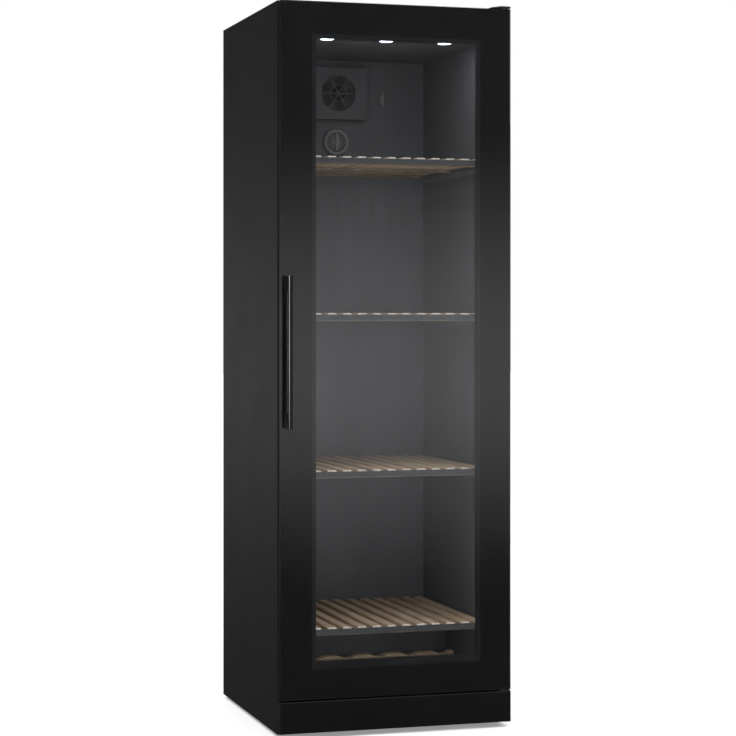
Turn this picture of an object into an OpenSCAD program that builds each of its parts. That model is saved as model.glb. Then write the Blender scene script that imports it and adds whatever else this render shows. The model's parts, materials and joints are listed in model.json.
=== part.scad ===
// Tall wine cooler with a full-height glass door, hinged on the right.
// Millimetres. Z is up, the front faces -Y, X runs to the right as seen from the front.
// The origin is on the floor, under the middle of the box around the whole object.

/* [Cabinet] */
// Width over the two side panels
cabinet_w = 595; // [590:1:610]
// Depth of the side panels, without the door
cabinet_d = 588; // [584:1:610]
// Height of the cabinet's top above the floor
cabinet_h = 1800; // [1790:1:1840]
// Height of the panels' lower edge above the floor
ground_gap = 8; // [7:0.5:9]
// Thickness of the steel sheet
sheet_t = 1.2; // [0.8:0.1:1.4]
// Insulated side wall, from the outside to the room for the bottles
wall_t = 45.5; // [45:0.5:50]
// Insulated top, from the outside to the ceiling of the room
top_wall_t = 78; // [76:1:82]
// Depth kept free behind the rear panel for the condenser
condenser_d = 20; // [20:1:24]

/* [Room] */
// Floor of the room above the ground
floor_z = 140; // [138:1:142]
// Height of the step over the machine compartment, above the ground
step_z = 228; // [226:1:228]
// Thickness of the plastic liner
liner_t = 2; // [1.5:0.1:2]

/* [Door] */
// Thickness of the door, without its gasket and handle
door_t = 22; // [22:0.5:24]
// Gap between the door and the cabinet, which the gasket fills
door_gap = 10; // [9.5:0.5:12]
// Lower edge of the door above the ground
door_bottom_z = 95; // [95:0.5:96]
// Distance of the door's upper edge below the cabinet's top
door_drop = 2; // [1.8:0.1:3]
// Thickness of each glass pane
glass_t = 4; // [4:0.1:4.5]
// Printed border at the sides and the top of the window
border_w = 80; // [76:1:84]
// Printed border below the window
border_bottom = 73; // [73:1:86]
// Distance of the hinge axis from the door's right edge
hinge_inset = 15.5; // [15:0.5:16]
// Distance of the hinge axis behind the door's front face
hinge_depth = 11; // [10.5:0.5:11]

/* [Handle] */
// Length of the handle bar
handle_l = 372; // [300:2:420]
// Width of the handle bar
handle_w = 10; // [9:1:12]
// Depth of the handle bar
handle_bar_d = 14; // [12:1:16]
// Distance that the handle stands out of the door
handle_out = 36; // [34:1:40]
// Distance of the handle from the door's left edge
handle_inset = 12; // [10:1:13]
// Height of the handle's middle above the ground
handle_z = 942; // [900:1:980]
// Height of each post that carries the handle bar
post_h = 38; // [30:1:44]

/* [Shelves] */
// Upper face of the lowest shelf above the ground
shelf_z = 262; // [260:0.5:264]
// Distance from one shelf to the next
shelf_pitch = 387.5; // [384:0.5:389]
// Number of slats in a shelf
slat_count = 13; // [9:1:15]
// Width of a slat
slat_w = 22; // [18:1:24]
// Thickness of a slat
slat_t = 12; // [10:1:13]
// Height of the metal trim along a shelf's front
trim_h = 13; // [11:1:14]
// Diameter of a bottle that lies in the cradle on the floor
bottle_d = 76; // [74:1:78]
// Distance between the bottles in the cradle
cradle_pitch = 86; // [82:1:86]

/* [Lights] */
// Diameter of a light's lens
lamp_d = 34; // [28:1:36]
// Distance between two lights
lamp_pitch = 154; // [140:1:160]
// Distance of the lights behind the cabinet's front
lamp_back = 65; // [55:1:75]

/* [Feet] */
// Travel of a front foot on its screw
foot_travel = 20; // [10:1:24]
// Diameter of a foot's pad
foot_d = 40; // [36:1:44]
// Diameter of a rear roller
roller_d = 40; // [40:1:41]

/* [Hidden] */
$fn = 48;
// Overlap that lets a cutting tool pass clean through a face
cut = 1;
// Radial clearance of a part that turns or slides in a bore
run_gap = 0.06;
// Half of the hairline joint between two lengths of a frame
joint_gap = 0.1;

// Main planes, from the handle's front to the cabinet's back
half_w = cabinet_w / 2;
back_y = (cabinet_d + door_gap + door_t + handle_out) / 2;
front_y = back_y - cabinet_d;
door_back_y = front_y - door_gap;
door_front_y = door_back_y - door_t;
handle_front_y = door_front_y - handle_out;
inner_w = half_w - sheet_t;
return_w = 12;
return_x = half_w - return_w;
rear_y = back_y - condenser_d;

// Room for the bottles
room_w = half_w - wall_t;
ceiling_z = cabinet_h - top_wall_t;
room_front_y = front_y + 10;
room_back_y = rear_y - 40;
step_y = front_y + 340;

// Machine compartment under the step
body_bottom_z = floor_z - 47;
hood_y = step_y + 35;
hood_z = step_z - 38;
pan_z = 12;
pan_t = 2;
pan_top_z = pan_z + pan_t;

// Door
door_top_z = cabinet_h - door_drop;
print_t = 0.3;
print_y = door_front_y + glass_t;
frame_y = print_y + print_t;
lip_t = 2;
inner_glass_y = door_back_y - lip_t - glass_t;
window_w = half_w - border_w;
window_bottom_z = door_bottom_z + border_bottom;
window_top_z = door_top_z - border_w;
frame_margin = 1;
glass_margin = 72.5;
lip_margin = 88.5;
spacer_w = 17.5;
gasket_margin = 23.5;
gasket_w = 12;
gasket_gap = 0.3;
hinge_x = half_w - hinge_inset;
hinge_y = door_front_y + hinge_depth;
pin_r = 4;
bush_r = 5.5;
bush_l = 20;

// Hinge plates above and below the door
plate_t = 2.5;
plate_x = hinge_x - 14;
plate_end_x = hinge_x + 14;
plate_front_y = door_front_y + 2;
plate_back_y = front_y + 45;
bottom_plate_z = door_bottom_z - 3.5;
bottom_flange_z = 40;
flange_t = 3;
top_screws = [[-7, 15], [7, 15], [0, 35]];
bottom_screw_z = [50, 75];

// Handle
handle_x = -half_w + handle_inset;
bar_back_y = handle_front_y + handle_bar_d;
handle_low_z = handle_z - handle_l / 2;
handle_high_z = handle_z + handle_l / 2;
post_x = handle_x + 1.5;
post_w = handle_w - 3;
post_zs = [handle_low_z + 1, handle_high_z - 1 - post_h];
screw_x = post_x + post_w / 2;

// Shelves
shelf_front_y = front_y + 13;
shelf_back_y = room_back_y - 13;
slat_front_y = shelf_front_y + 4;
slat_edge_x = room_w - 10;
slat_pitch = (2 * slat_edge_x - slat_w) / (slat_count - 1);
batten_h = 8;
rail_h = 14;
rail_w = 16;
trim_drop = 4;
cradle_count = 6;

// Control panel in the upper part of the front frame
panel_w = 110;
panel_z = cabinet_h - 50;
panel_half_h = 20;
pocket_w = 99;
pocket_half_h = 15;
pocket_d = 24;
button_xs = [40, 62, 84];
button_r = 5.8;

// Fan on the rear wall of the room
fan_z = cabinet_h - 170;
fan_w = 80;
fan_half_h = 70;
fan_d = 32;
fan_y = room_back_y - fan_d;
filter_z = cabinet_h - 300;
filter_r = 34;

// Machines
comp_x = 110;
comp_y = back_y - 106;
comp_r = 72;
comp_z = 34;
comp_round = 30;
comp_top = comp_z + 136;
stub_z = 120;
coil_y = rear_y + 10;
coil_r = 2.4;
coil_pitch = 60;
coil_runs = 24;
coil_low_z = 240;
coil_x = 240;
coil_top_z = coil_low_z + coil_pitch * (coil_runs - 1);
wire_r = 0.8;
wire_pitch = 15;
wire_x = 225;
drain_x = -100;
drain_y = back_y - 88;
drain_r = 7;
drier_y = back_y - 28;
drier_z = 105;
inlet_x = -245;
inlet_z = 70;

// Feet and rollers
foot_x = half_w - 52;
foot_y = front_y + 60;
stem_r = 5;
roller_x = half_w - 57;
roller_y = back_y - 66;
roller_r = roller_d / 2;
roller_w = 24;
axle_r = 4;

// A box given by two opposite corners.
module box(low, high) {
    translate(low) cube(high - low);
}

// Mirrors a right-hand shape to the left when side is -1.
module sided(side) {
    if (side < 0) mirror([1, 0, 0]) children();
    else children();
}

// Round bars along each axis.
module bar_x(x0, x1, y, z, r) {
    translate([x0, y, z]) rotate([0, 90, 0]) cylinder(h = x1 - x0, r = r);
}
module bar_y(x, y0, y1, z, r) {
    translate([x, y0, z]) rotate([-90, 0, 0]) cylinder(h = y1 - y0, r = r);
}
module bar_z(x, y, z0, z1, r) {
    translate([x, y, z0]) cylinder(h = z1 - z0, r = r);
}

// A straight pipe between two points.
module pipe_leg(a, b, r) {
    d = b - a;
    leg = norm(d);
    translate(a) rotate([0, acos(d.z / leg), atan2(d.y, d.x)]) cylinder(h = leg, r = r);
}

// A bent pipe through a list of points, with a brazed elbow at each corner.
module pipe_run(points, r) {
    for (i = [0 : len(points) - 2]) pipe_leg(points[i], points[i + 1], r);
    for (i = [1 : len(points) - 2]) translate(points[i]) sphere(r = r * 1.15);
}

// A rectangular ring in the door's plane, between two distances from the glass's edge.
module door_ring(outer, inner, y0, y1) {
    difference() {
        box([-half_w + outer, y0, door_bottom_z + outer], [half_w - outer, y1, door_top_z - outer]);
        box([-half_w + inner, y0 - cut, door_bottom_z + inner],
            [half_w - inner, y1 + cut, door_top_z - inner]);
    }
}

// ---- Cabinet ----

// Side panel with a folded edge at its front and back
module side_panel(side) {
    color([0.03, 0.03, 0.03]) sided(side) union() {
        box([half_w - sheet_t, front_y, ground_gap], [half_w, back_y, cabinet_h]);
        box([return_x, front_y, ground_gap], [half_w, front_y + sheet_t, cabinet_h]);
        box([return_x, back_y - sheet_t, ground_gap], [half_w, back_y, cabinet_h]);
    }
}

module top_panel() {
    lip_z = cabinet_h - 14;
    color([0.03, 0.03, 0.03]) difference() {
        union() {
            box([-inner_w, front_y + sheet_t, cabinet_h - sheet_t],
                [inner_w, back_y - sheet_t, cabinet_h]);
            box([-return_x, front_y, lip_z], [return_x, front_y + sheet_t, cabinet_h]);
            box([-return_x, back_y - sheet_t, lip_z], [return_x, back_y, cabinet_h]);
        }
        top_screw_shanks();
    }
}

module rear_panel() {
    color([0.05, 0.05, 0.05])
    box([-inner_w, rear_y - sheet_t, hood_z], [inner_w, rear_y, cabinet_h - sheet_t]);
}

// Stepped sheet under the insulated body and over the machine compartment
module machine_hood() {
    low = body_bottom_z;
    color([0.55, 0.56, 0.57]) difference() {
        union() {
            box([-inner_w, front_y + 1.5, low - sheet_t], [inner_w, hood_y, low]);
            box([-inner_w, hood_y - sheet_t, low - sheet_t], [inner_w, hood_y, hood_z]);
            box([-inner_w, hood_y - sheet_t, hood_z - sheet_t], [inner_w, rear_y, hood_z]);
        }
        drain_hole();
    }
}

// Floor sheet with a front wall, the threaded feet bosses and the roller cut-outs
module base_pan() {
    boss_top = pan_top_z + 30;
    color([0.55, 0.56, 0.57]) difference() {
        union() {
            box([-inner_w, front_y + 1.5, pan_z], [inner_w, back_y - sheet_t, pan_top_z]);
            box([-return_x, front_y, pan_z], [return_x, front_y + 1.5, body_bottom_z]);
            for (side = [-1, 1]) bar_z(side * foot_x, foot_y, pan_z, boss_top, 9);
        }
        for (side = [-1, 1]) {
            bar_z(side * foot_x, foot_y, pan_z - cut, boss_top + cut, stem_r + run_gap);
            translate([side * roller_x, roller_y, pan_z])
                cube([roller_w + 3, roller_d + 4, 10], center = true);
        }
        bottom_screw_shanks();
    }
}

module foam_insulation() {
    color([0.85, 0.78, 0.55]) difference() {
        union() {
            box([-inner_w, room_front_y, body_bottom_z],
                [inner_w, hood_y - sheet_t, cabinet_h - sheet_t]);
            box([-inner_w, hood_y - sheet_t, hood_z],
                [inner_w, rear_y - sheet_t, cabinet_h - sheet_t]);
        }
        liner_outside();
        evaporator_shape();
        box([-pocket_w, room_front_y - cut, panel_z - pocket_half_h],
            [pocket_w, front_y + pocket_d, panel_z + pocket_half_h]);
        drain_hole();
        top_screw_shanks();
    }
}

// Four strips that close the gap between the steel shell and the liner
module front_frame() {
    low = body_bottom_z;
    high = cabinet_h - 14;
    color([0.06, 0.06, 0.06]) {
        for (side = [-1, 1]) sided(side)
            box([room_w + joint_gap, front_y, low], [return_x, room_front_y, high]);
        box([joint_gap - room_w, front_y, low],
            [room_w - joint_gap, room_front_y, floor_z]);
        difference() {
            box([joint_gap - room_w, front_y, ceiling_z],
                [room_w - joint_gap, room_front_y, high]);
            box([-pocket_w, front_y - cut, panel_z - pocket_half_h],
                [pocket_w, room_front_y + cut, panel_z + pocket_half_h]);
        }
    }
}

// The room's space, or the liner's outside when grown by its thickness
module room_shape(grow) {
    box([-room_w - grow, room_front_y, floor_z - grow],
        [room_w + grow, step_y + grow, ceiling_z + grow]);
    box([-room_w - grow, step_y + grow, step_z - grow],
        [room_w + grow, room_back_y + grow, ceiling_z + grow]);
}

module liner_outside() {
    translate([0, -cut, 0]) room_shape(liner_t);
    room_shape(liner_t);
}

// Flat panels that line the room, with hairline joints, and the charcoal filter's seat
module inner_liner() {
    g = joint_gap;
    side_w = room_w - 2 * g;
    seat_y = room_back_y - 2 * g;
    side_outline = [
        [room_front_y, floor_z - liner_t], [step_y, floor_z - liner_t], [step_y, step_z - liner_t],
        [room_back_y + liner_t, step_z - liner_t], [room_back_y + liner_t, ceiling_z + liner_t],
        [room_front_y, ceiling_z + liner_t]
    ];
    color([0.16, 0.16, 0.17]) {
        for (side = [-1, 1]) sided(side)
            translate([room_w, 0, 0]) rotate([90, 0, 90])
                linear_extrude(liner_t) polygon(side_outline);
        box([-side_w, room_front_y, ceiling_z], [side_w, room_back_y + liner_t, ceiling_z + liner_t]);
        box([-side_w, room_back_y, step_z], [side_w, room_back_y + liner_t, ceiling_z - 2 * g]);
        box([-side_w, step_y, floor_z + 2 * g], [side_w, step_y + liner_t, step_z - liner_t - 2 * g]);
        box([-side_w, room_front_y, floor_z - liner_t], [side_w, step_y + liner_t, floor_z]);
        difference() {
            box([-side_w, step_y, step_z - liner_t], [side_w, room_back_y - 2 * g, step_z]);
            drain_hole();
        }
        difference() {
            bar_y(0, room_back_y - 6, seat_y, filter_z, filter_r + 4);
            bar_y(0, room_back_y - 7, room_back_y + cut, filter_z, filter_r + 1);
        }
        bar_y(0, room_back_y - 6.5, seat_y, filter_z, 3);
    }
}

// Folded kick plate below the door, with two tabs that hold it to the base
module plinth() {
    low = ground_gap + 6;
    high = door_bottom_z - 4;
    tab_z = 30;
    color([0.03, 0.03, 0.03]) union() {
        box([-half_w, door_front_y, low], [half_w, door_front_y + sheet_t, high]);
        box([-half_w, door_front_y, high - sheet_t], [half_w, front_y - 6, high]);
        for (side = [-1, 1]) sided(side) {
            box([half_w - sheet_t, door_front_y, low], [half_w, front_y - 1, high]);
            box([190, door_front_y, tab_z], [215, front_y, tab_z + 2]);
        }
    }
}

// Slotted cover of the machine compartment
module rear_grille() {
    slot_l = 62;
    slot_h = 5;
    low = pan_top_z;
    high = hood_z - 2;
    color([0.08, 0.08, 0.08]) difference() {
        box([-return_x, back_y - sheet_t, low], [return_x, back_y, high]);
        for (column = [-2 : 3], row = [0 : 7])
            translate([column * 82 - 41 + 10, back_y, low + 24 + row * 16])
                cube([slot_l, 4, slot_h], center = true);
        translate([inlet_x, back_y, inlet_z]) cube([28, 4, 20], center = true);
    }
}

// ---- Hinges ----

module top_screw_shanks() {
    for (place = top_screws)
        bar_z(hinge_x + place.x, front_y + place.y, cabinet_h - 16, cabinet_h + plate_t, 2);
}

module bottom_screw_shanks() {
    for (z = bottom_screw_z)
        bar_y(hinge_x - 7, front_y - flange_t, front_y + 16, z, 2.2);
}

// Steel plate over the door and steel angle under it
module hinge_brackets() {
    color([0.35, 0.35, 0.36]) {
        difference() {
            box([plate_x, plate_front_y, cabinet_h],
                [plate_end_x, plate_back_y, cabinet_h + plate_t]);
            bar_z(hinge_x, hinge_y, cabinet_h - cut, cabinet_h + 4, pin_r);
            hinge_screws_top();
        }
        difference() {
            union() {
                box([plate_x, plate_front_y, bottom_plate_z],
                    [plate_end_x, front_y, bottom_plate_z + plate_t]);
                box([plate_x, front_y - flange_t, bottom_flange_z],
                    [plate_end_x, front_y, bottom_plate_z + plate_t]);
            }
            bar_z(hinge_x, hinge_y, bottom_plate_z - cut, bottom_plate_z + 4, pin_r);
            bottom_screw_shanks();
        }
    }
}

module hinge_pins() {
    collar_z = bottom_plate_z + plate_t;
    color([0.7, 0.7, 0.72]) {
        bar_z(hinge_x, hinge_y, door_top_z - bush_l, cabinet_h + plate_t, pin_r);
        bar_z(hinge_x, hinge_y, bottom_plate_z, door_bottom_z + bush_l, pin_r);
        difference() {
            bar_z(hinge_x, hinge_y, collar_z, door_bottom_z + 0.7, 6.5);
            bar_z(hinge_x, hinge_y, collar_z - cut, door_bottom_z + 2, pin_r);
        }
    }
}

// Plastic cap over the upper hinge plate, with a ramp at its left end
module hinge_cover() {
    left = half_w - 52;
    top = cabinet_h + 5;
    outline = [
        [left, cabinet_h], [half_w, cabinet_h], [half_w, top - 0.8],
        [half_w - 5, top], [left + 26, top], [left, cabinet_h + 0.8]
    ];
    color([0.03, 0.03, 0.03]) difference() {
        translate([0, plate_back_y + 3, 0]) rotate([90, 0, 0])
            linear_extrude(plate_back_y + 3 - door_front_y - 1) polygon(outline);
        box([plate_x - 1, plate_front_y - 0.4, cabinet_h - cut],
            [plate_end_x + 0.5, plate_back_y + 0.5, cabinet_h + plate_t + 0.4]);
    }
}

module hinge_screws_top() {
    top_screw_shanks();
    for (place = top_screws)
        bar_z(hinge_x + place.x, front_y + place.y, cabinet_h + 1, cabinet_h + plate_t, 3.8);
}

module hinge_screws() {
    color([0.6, 0.6, 0.62]) {
        hinge_screws_top();
        bottom_screw_shanks();
        for (z = bottom_screw_z)
            bar_y(hinge_x - 7, front_y - flange_t - 2, front_y - flange_t, z, 4);
    }
}

// ---- Shelves ----

function shelf_top(number) = shelf_z + (number - 1) * shelf_pitch;

// Eight rails on the liner's side walls
module shelf_rails() {
    color([0.2, 0.2, 0.21])
    for (side = [-1, 1], number = [1 : 4]) {
        top = shelf_top(number) - slat_t - batten_h;
        sided(side) box([room_w - rail_w, shelf_front_y + 7, top - rail_h],
                        [room_w, shelf_back_y - 5, top]);
    }
}

// Slats that run from front to back, glued on three battens
module shelf_slats(number) {
    top = shelf_top(number);
    batten_ys = [slat_front_y + 4, (slat_front_y + shelf_back_y) / 2 - 10, shelf_back_y - 26];
    color([0.62, 0.5, 0.36]) union() {
        for (i = [0 : slat_count - 1]) {
            x = -slat_edge_x + i * slat_pitch;
            box([x, slat_front_y, top - slat_t], [x + slat_w, shelf_back_y, top]);
        }
        for (y = batten_ys)
            box([-room_w + 5, y, top - slat_t - batten_h], [room_w - 5, y + 20, top - slat_t]);
    }
}

// Flat metal strips along the front of the four shelves
module shelf_trims() {
    color([0.28, 0.28, 0.29])
    for (number = [1 : 4]) {
        top = shelf_top(number) - trim_drop;
        box([-room_w + 2, shelf_front_y, top - trim_h], [room_w - 2, slat_front_y, top]);
    }
}

// Two scalloped bars that hold the bottles on the floor of the room
module bottle_cradle() {
    bar_top = floor_z + 10;
    bottle_z = floor_z + 3 + bottle_d / 2;
    first = -(cradle_count - 1) / 2;
    color([0.62, 0.5, 0.36])
    for (y = [front_y + 70, front_y + 260])
        difference() {
            box([-room_w + 4, y, floor_z], [room_w - 4, y + 30, bar_top]);
            for (i = [0 : cradle_count - 1])
                bar_y((first + i) * cradle_pitch, y - cut, y + 31, bottle_z, bottle_d / 2 + 0.3);
        }
}

// ---- Lights and controls ----

module light_bar() {
    y = front_y + lamp_back;
    color([0.25, 0.25, 0.26]) difference() {
        box([-lamp_pitch - 46, y - 20, ceiling_z - 4.5], [lamp_pitch + 46, y + 20, ceiling_z]);
        for (i = [-1 : 1]) bar_z(i * lamp_pitch, y, ceiling_z - 6, ceiling_z - 1, lamp_d / 2);
    }
}

module led_lenses() {
    y = front_y + lamp_back;
    color([0.95, 0.97, 1])
    for (i = [-1 : 1]) bar_z(i * lamp_pitch, y, ceiling_z - 6, ceiling_z - 1, lamp_d / 2);
}

// Housing set in the front frame, with holes for the buttons and a recess for the display
module control_panel() {
    face_y = front_y - 2;
    low = panel_z - pocket_half_h;
    high = panel_z + pocket_half_h;
    wall = 2;
    color([0.05, 0.05, 0.05]) difference() {
        union() {
            box([-panel_w, face_y, panel_z - panel_half_h],
                [panel_w, front_y, panel_z + panel_half_h]);
            box([-pocket_w, front_y - 1, low], [pocket_w, front_y + pocket_d, high]);
        }
        box([-pocket_w + wall, front_y, low + wall],
            [pocket_w - wall, front_y + pocket_d - wall, high - wall]);
        display_shape();
        for (x = button_xs) bar_y(x, face_y - cut, front_y + cut, panel_z, button_r + 0.3);
    }
}

module display_shape() {
    box([-90, front_y - 2, panel_z - 13], [20, front_y - 0.8, panel_z + 13]);
}

module display_lens() {
    color([0.02, 0.04, 0.06]) display_shape();
}

// Round push-button with a collar that keeps it behind the panel
module button(index) {
    x = button_xs[index];
    color([0.3, 0.3, 0.31]) union() {
        bar_y(x, front_y - 4, front_y + 6, panel_z, button_r);
        bar_y(x, front_y + 0.7, front_y + 2.7, panel_z, button_r + 1.7);
    }
}

// ---- Air ----

// Box on the rear wall with a round guarded inlet and open slots at both sides
module fan_housing() {
    wall = 2;
    inlet_r = 48;
    color([0.14, 0.14, 0.15]) union() {
        difference() {
            box([-fan_w, fan_y, fan_z - fan_half_h], [fan_w, room_back_y, fan_z + fan_half_h]);
            box([-fan_w + wall, fan_y + wall, fan_z - fan_half_h + wall],
                [fan_w - wall, room_back_y + cut, fan_z + fan_half_h - wall]);
            bar_y(0, fan_y - cut, fan_y + wall + cut, fan_z, inlet_r);
            for (row = [-2 : 2])
                box([-fan_w - cut, fan_y + 12, fan_z + row * 24 - 6],
                    [fan_w + cut, room_back_y - 6, fan_z + row * 24 + 6]);
        }
        difference() {
            bar_y(0, fan_y, fan_y + wall, fan_z, 24);
            bar_y(0, fan_y - cut, fan_y + wall + cut, fan_z, 21);
        }
        for (angle = [0 : 60 : 120])
            translate([0, fan_y + wall / 2, fan_z]) rotate([0, angle, 0])
                cube([2 * inlet_r + 2, wall, 3], center = true);
    }
}

module fan_motor() {
    color([0.1, 0.1, 0.1]) union() {
        bar_y(0, room_back_y - 12, room_back_y, fan_z, 13);
        bar_y(0, fan_y + 7, room_back_y - 11, fan_z, 1.5);
    }
}

// Axial rotor with five pitched blades
module fan_rotor() {
    hub_r = 14;
    hub_y = fan_y + 6;
    blade_l = 32;
    color([0.08, 0.08, 0.08]) difference() {
        union() {
            bar_y(0, hub_y, hub_y + 11, fan_z, hub_r);
            for (i = [0 : 4])
                translate([0, hub_y + 5.5, fan_z]) rotate([0, i * 72, 0])
                translate([hub_r - 2 + blade_l / 2, 0, 0]) rotate([30, 0, 0])
                cube([blade_l, 1.6, 18], center = true);
        }
        bar_y(0, hub_y - cut, hub_y + 12, fan_z, 1.5 + run_gap);
    }
}

module evaporator_shape() {
    box([-180, room_back_y + liner_t, 600], [180, room_back_y + liner_t + 2, 1500]);
}

module evaporator_plate() {
    color([0.75, 0.76, 0.78]) evaporator_shape();
}

// Air temperature probe in its clip
module air_sensor() {
    x = fan_w + 50;
    color([0.8, 0.8, 0.8]) union() {
        box([x - 6, room_back_y - 9, fan_z - 20], [x + 6, room_back_y, fan_z]);
        bar_z(x, room_back_y - 9, fan_z - 30, fan_z + 10, 3.5);
    }
}

// Round filter cartridge that twists in its seat, with a grip rib
module charcoal_filter() {
    color([0.75, 0.75, 0.73]) difference() {
        union() {
            bar_y(0, room_back_y - 12, room_back_y - 0.3, filter_z, filter_r);
            box([-3, room_back_y - 18, filter_z - 24], [3, room_back_y - 11, filter_z + 24]);
        }
        bar_y(0, room_back_y - 7, room_back_y + cut, filter_z, 3 + run_gap);
    }
}

// ---- Cooling machine ----

// Hermetic compressor with its base plate, terminal cover and two pipe stubs
module compressor() {
    h = comp_top - comp_z;
    color([0.04, 0.04, 0.04]) union() {
        translate([comp_x, comp_y, comp_z]) rotate_extrude() union() {
            square([comp_r - comp_round, h]);
            square([comp_r, h - comp_round]);
            intersection() {
                translate([comp_r - comp_round, h - comp_round]) circle(r = comp_round);
                square([comp_r + cut, h + cut]);
            }
        }
        box([comp_x - 80, comp_y - 70, comp_z - 3], [comp_x + 80, comp_y + 70, comp_z]);
        box([comp_x - 22, comp_y - comp_r - 22, comp_z + 30],
            [comp_x + 22, comp_y - comp_r + 14, comp_z + 84]);
        bar_x(comp_x - comp_r - 12, comp_x - comp_r + 8, comp_y, stub_z, 4);
        bar_x(comp_x + comp_r - 8, comp_x + comp_r + 12, comp_y, stub_z, 4);
    }
}

module compressor_grommets() {
    color([0.1, 0.1, 0.1])
    for (dx = [-68, 68], dy = [-58, 58])
        bar_z(comp_x + dx, comp_y + dy, pan_top_z, comp_z - 3, 9);
}

// Serpentine tube behind the rear panel, with four blocks that hold it there
module condenser_coil() {
    bend_r = coil_pitch / 2;
    color([0.05, 0.05, 0.05]) union() {
        for (i = [0 : coil_runs - 1])
            bar_x(-coil_x, coil_x, coil_y, coil_low_z + i * coil_pitch, coil_r);
        for (i = [0 : coil_runs - 2]) {
            side = i % 2 == 0 ? -1 : 1;
            translate([side * coil_x, coil_y, coil_low_z + (i + 0.5) * coil_pitch])
                sided(side) rotate([90, 0, 0]) rotate([0, 0, -90])
                rotate_extrude(angle = 180) translate([bend_r, 0]) circle(r = coil_r);
        }
        for (side = [-1, 1], i = [2, coil_runs - 3])
            translate([side * (coil_x - 12), (rear_y + coil_y) / 2, coil_low_z + i * coil_pitch])
                cube([10, coil_y - rear_y, 12], center = true);
    }
}

module condenser_wires() {
    color([0.05, 0.05, 0.05])
    for (x = [-wire_x : wire_pitch : wire_x])
        bar_z(x, coil_y + coil_r + wire_r, coil_low_z - 8, coil_top_z + 8, wire_r);
}

module filter_drier() {
    color([0.72, 0.42, 0.25]) union() {
        bar_x(-56, 6, drier_y, drier_z, 9);
        bar_x(-70, 20, drier_y, drier_z, 4);
    }
}

// Discharge pipe, return pipe to the drier, capillary and suction pipe
module refrigerant_pipes() {
    stub = comp_r + 12;
    side_x = coil_x + 6;
    down_x = coil_x + 36;
    deck_z = hood_z - sheet_t;
    color([0.72, 0.42, 0.25]) {
        pipe_run([[comp_x + stub, comp_y, stub_z], [side_x, comp_y, stub_z],
                  [side_x, coil_y, stub_z], [side_x, coil_y, coil_low_z],
                  [coil_x, coil_y, coil_low_z]], 3);
        pipe_run([[coil_x, coil_y, coil_top_z], [down_x, coil_y, coil_top_z],
                  [down_x, coil_y, drier_z], [30, coil_y, drier_z],
                  [30, drier_y, drier_z], [20, drier_y, drier_z]], 3);
        pipe_run([[-70, drier_y, drier_z], [-90, drier_y, drier_z],
                  [-90, drier_y, deck_z]], 1.2);
        pipe_run([[comp_x - stub, comp_y, stub_z], [-6, comp_y, stub_z],
                  [-6, comp_y, deck_z]], 4);
    }
}

// Open tray that catches and evaporates the condensed water
module drip_tray() {
    color([0.3, 0.3, 0.3]) difference() {
        box([-190, back_y - 188, pan_top_z], [-30, back_y - 40, pan_top_z + 30]);
        box([-188, back_y - 186, pan_top_z + 2], [-32, back_y - 42, pan_top_z + 31]);
    }
}

module drain_hole() {
    bar_z(drain_x, drain_y, hood_z - 10, step_z + cut, drain_r);
}

module drain_tube() {
    color([0.8, 0.8, 0.8]) difference() {
        bar_z(drain_x, drain_y, pan_top_z + 16, step_z, drain_r);
        bar_z(drain_x, drain_y, pan_top_z + 15, step_z + cut, drain_r - 1.5);
    }
}

// Closed box with the power electronics
module power_box() {
    color([0.12, 0.12, 0.12]) difference() {
        box([-280, hood_y + 15, pan_top_z], [-210, hood_y + 110, pan_top_z + 76]);
        box([-278, hood_y + 17, pan_top_z + 2], [-212, hood_y + 108, pan_top_z + 74]);
    }
}

// Appliance socket in the grille, with three contact blades
module power_inlet() {
    blade_y = back_y - 6;
    color([0.05, 0.05, 0.05]) union() {
        difference() {
            box([inlet_x - 14, back_y - 28, inlet_z - 10], [inlet_x + 14, back_y, inlet_z + 10]);
            box([inlet_x - 12, back_y - 18, inlet_z - 8], [inlet_x + 12, back_y + cut, inlet_z + 8]);
        }
        for (place = [[-7, -2], [0, 2], [7, -2]])
            translate([inlet_x + place.x, (back_y - 20 + blade_y) / 2, inlet_z + place.y])
                cube([2, blade_y - back_y + 20, 4], center = true);
    }
}

// ---- Feet and rollers ----

module foot(side) {
    x = side * foot_x;
    color([0.1, 0.1, 0.1]) union() {
        bar_z(x, foot_y, 0, ground_gap, foot_d / 2);
        bar_z(x, foot_y, ground_gap - cut, pan_top_z + 26 + foot_travel, stem_r);
    }
}

module roller(side) {
    x = side * roller_x;
    color([0.1, 0.1, 0.1]) difference() {
        bar_x(x - roller_w / 2, x + roller_w / 2, roller_y, roller_r, roller_r);
        bar_x(x - roller_w, x + roller_w, roller_y, roller_r, axle_r + run_gap);
    }
}

// Two cheeks and a fixed axle at each roller
module roller_brackets() {
    inside = roller_w / 2 + 0.5;
    outside = inside + 3;
    top = roller_d + 3;
    color([0.55, 0.56, 0.57])
    for (side = [-1, 1]) sided(side) translate([roller_x, roller_y, 0]) union() {
        box([-outside, -14, pan_top_z], [-inside, 14, top]);
        box([inside, -14, pan_top_z], [outside, 14, top]);
        bar_x(-outside, outside, 0, roller_r, axle_r);
    }
}

// ---- Door ----

module handle_screw_holes(r, y0, y1) {
    for (z = post_zs) bar_y(screw_x, y0, y1, z + post_h / 2, r);
}

module outer_glass() {
    color([0.05, 0.05, 0.06, 0.5]) difference() {
        box([-half_w, door_front_y, door_bottom_z], [half_w, print_y, door_top_z]);
        handle_screw_holes(4, door_front_y - cut, print_y + cut);
    }
}

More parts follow.
